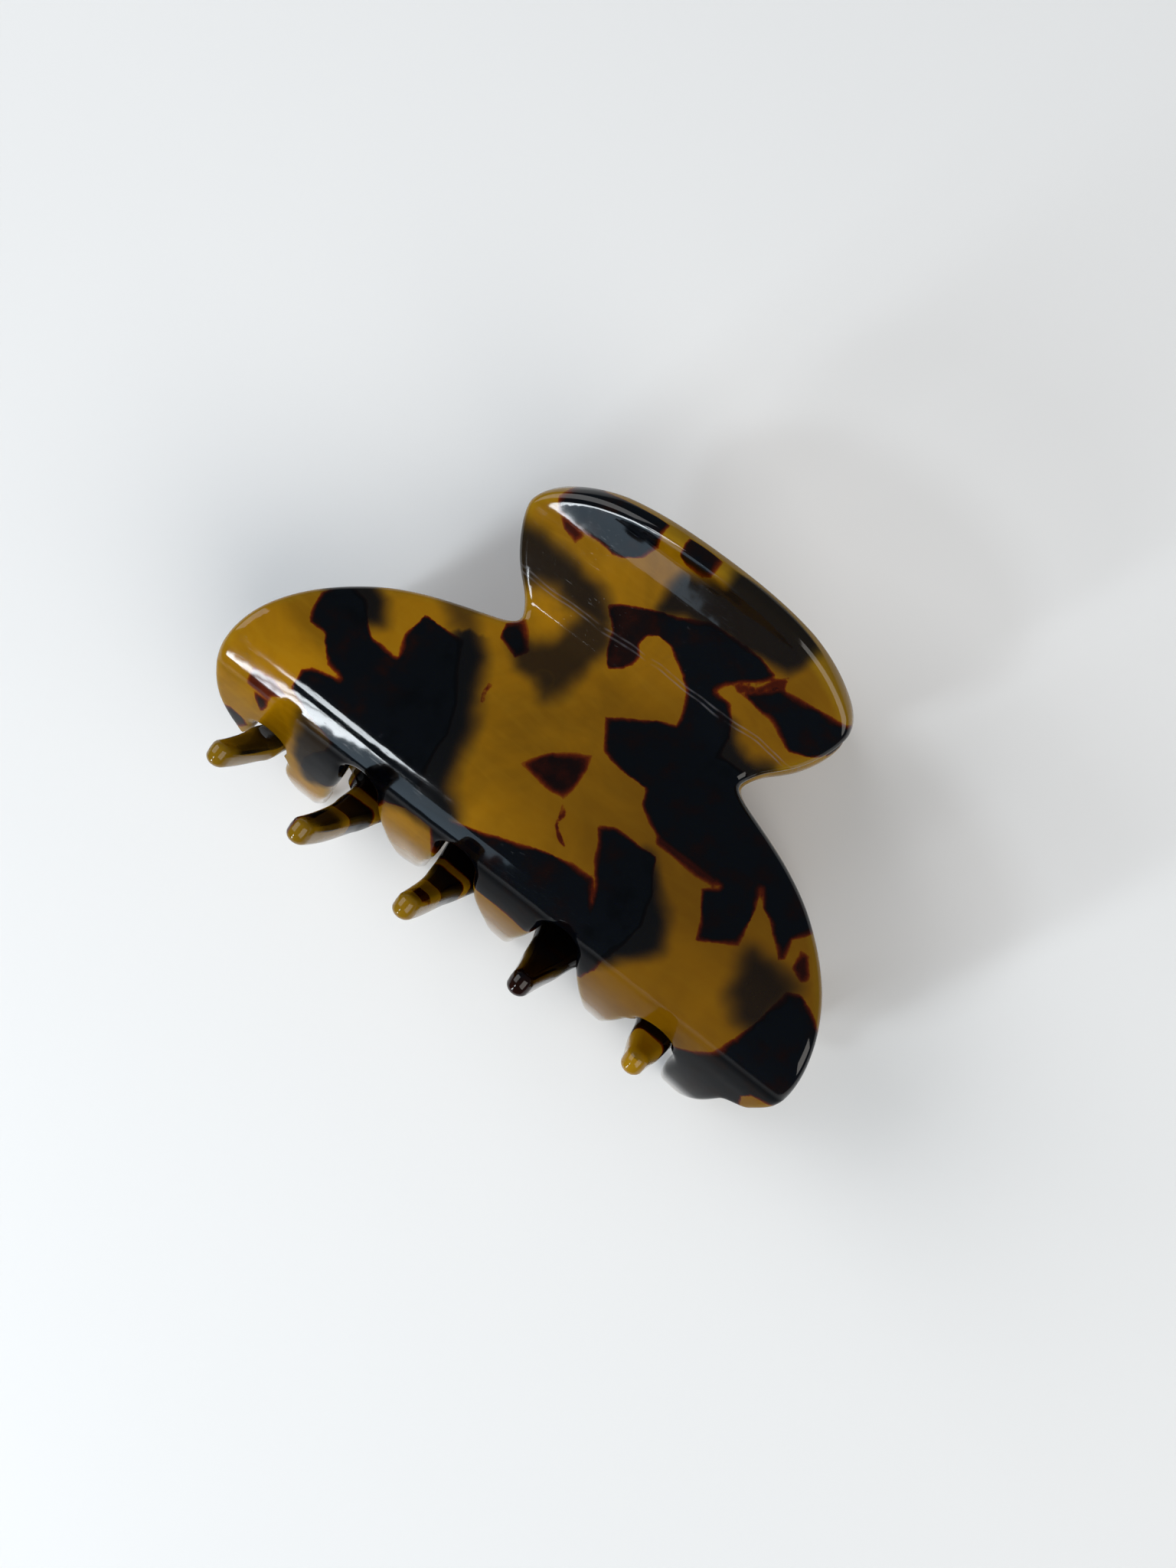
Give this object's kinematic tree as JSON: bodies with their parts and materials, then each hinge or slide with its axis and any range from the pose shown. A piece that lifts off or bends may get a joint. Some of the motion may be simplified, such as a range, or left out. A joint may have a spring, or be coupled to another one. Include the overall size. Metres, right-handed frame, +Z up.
{
  "type": "claw hair clip",
  "caption": "Claw hair clip: two bent toothed jaws in tortoiseshell acetate that interleave, opened by thumb tabs on a sprung pin hinge.",
  "frame": {"origin": "centre of the closed clip's bounding box, at the surface it lies on", "axes": "+X along the hinge pin, +Y towards the thumb tabs, +Z up, away from the surface"},
  "size_m": [0.0883, 0.06, 0.0413],
  "materials": {
    "tortoiseshell_acetate": "polished amber acetate with near-black and reddish-brown chips, slightly translucent",
    "nickel_plated_steel": "satin nickel plate",
    "spring_steel": "drawn wire"
  },
  "bodies": {
    "lower_half": {"lower_jaw": "tortoiseshell_acetate", "lower_hinge_bracket": "nickel_plated_steel", "lower_stud_left": "nickel_plated_steel", "lower_stud_right": "nickel_plated_steel", "hinge_pin": "nickel_plated_steel", "torsion_spring": "spring_steel"},
    "upper_half": {"upper_jaw": "tortoiseshell_acetate", "upper_hinge_bracket": "nickel_plated_steel", "upper_stud_left": "nickel_plated_steel", "upper_stud_right": "nickel_plated_steel"}
  },
  "joints": [
    {"name": "jaw_hinge", "type": "hinge", "parent": "lower_half", "child": "upper_half", "pos_m": [0, 0.00752, 0.0182], "axis": [-1, 0, 0], "range_deg": [0, 60], "stiffness_Nm_per_rad": 0.25, "springref_deg": -28.65, "deforming": ["torsion_spring"]}
  ]
}
